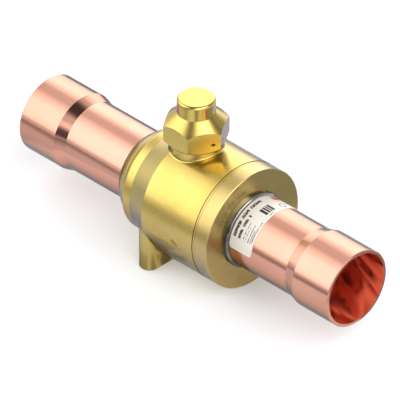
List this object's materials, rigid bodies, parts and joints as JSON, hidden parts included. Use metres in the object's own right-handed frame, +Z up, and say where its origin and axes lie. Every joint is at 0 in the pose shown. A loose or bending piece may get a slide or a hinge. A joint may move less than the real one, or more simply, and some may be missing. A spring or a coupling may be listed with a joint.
{
  "type": "shut-off ball valve",
  "caption": "Refrigerant line shut-off ball valve: round brass body, copper sockets for brazing, quarter-turn spindle under a screwed hexagonal seal cap.",
  "frame": {"origin": "where the pipe axis crosses the spindle axis, at the middle of the ball", "axes": "+X along the pipe from inlet to outlet, +Z up the spindle to the seal cap, -Y the front with the flow arrow"},
  "size_m": [0.2341, 0.0707, 0.1003],
  "materials": {
    "brass_forging": "bright forged and blasted brass",
    "brass_turned": "fine turned brass",
    "brass_weld": "dressed weld seam",
    "copper": "bright drawn copper tube",
    "silver_braze": "bright silver braze alloy",
    "chromed_ball": "polished hard chrome",
    "seat_plastic": "filled fluoropolymer",
    "seal_rubber": "matt black rubber",
    "spindle_steel": "turned steel",
    "zinc_steel": "zinc-plated steel",
    "spring_steel": "oil-blackened spring steel",
    "gasket": "white sealing plastic",
    "label_film": "matt white printed film"
  },
  "bodies": {
    "valve": {"valve_body": "brass_forging", "end_closure": "brass_turned", "closure_weld": "brass_weld", "inlet_connector": "copper", "outlet_connector": "copper", "inlet_braze": "silver_braze", "outlet_braze": "silver_braze", "inlet_seat": "seat_plastic", "outlet_seat": "seat_plastic", "inlet_seat_ring": "seal_rubber", "outlet_seat_ring": "seal_rubber", "thrust_washer": "seat_plastic", "stop_pin": "spindle_steel", "label": "label_film"},
    "shutter": {"ball": "chromed_ball", "spindle": "spindle_steel", "lower_packing_ring": "seal_rubber", "upper_packing_ring": "seal_rubber", "stop_washer": "zinc_steel", "retaining_clip": "spring_steel"},
    "cap_lifter": {"cap_gasket": "gasket"},
    "cap": {"seal_cap": "brass_turned"}
  },
  "joints": [
    {"name": "spindle_turn", "type": "hinge", "parent": "valve", "child": "shutter", "pos_m": [0, 0, 0.04], "axis": [0, 0, -1], "range_deg": [0, 90]},
    {"name": "cap_rise", "type": "slide", "parent": "valve", "child": "cap_lifter", "axis": [0, 0, 1], "range_m": [0, 0.01201]},
    {"name": "cap_turn", "type": "hinge", "parent": "cap_lifter", "child": "cap", "pos_m": [0, 0, 0.05], "axis": [0, 0, 1], "range_deg": [0, 2880]}
  ],
  "couplings": [
    {"joint": "cap_rise", "follows": "cap_turn", "m_per_rad": 0.00023873}
  ]
}
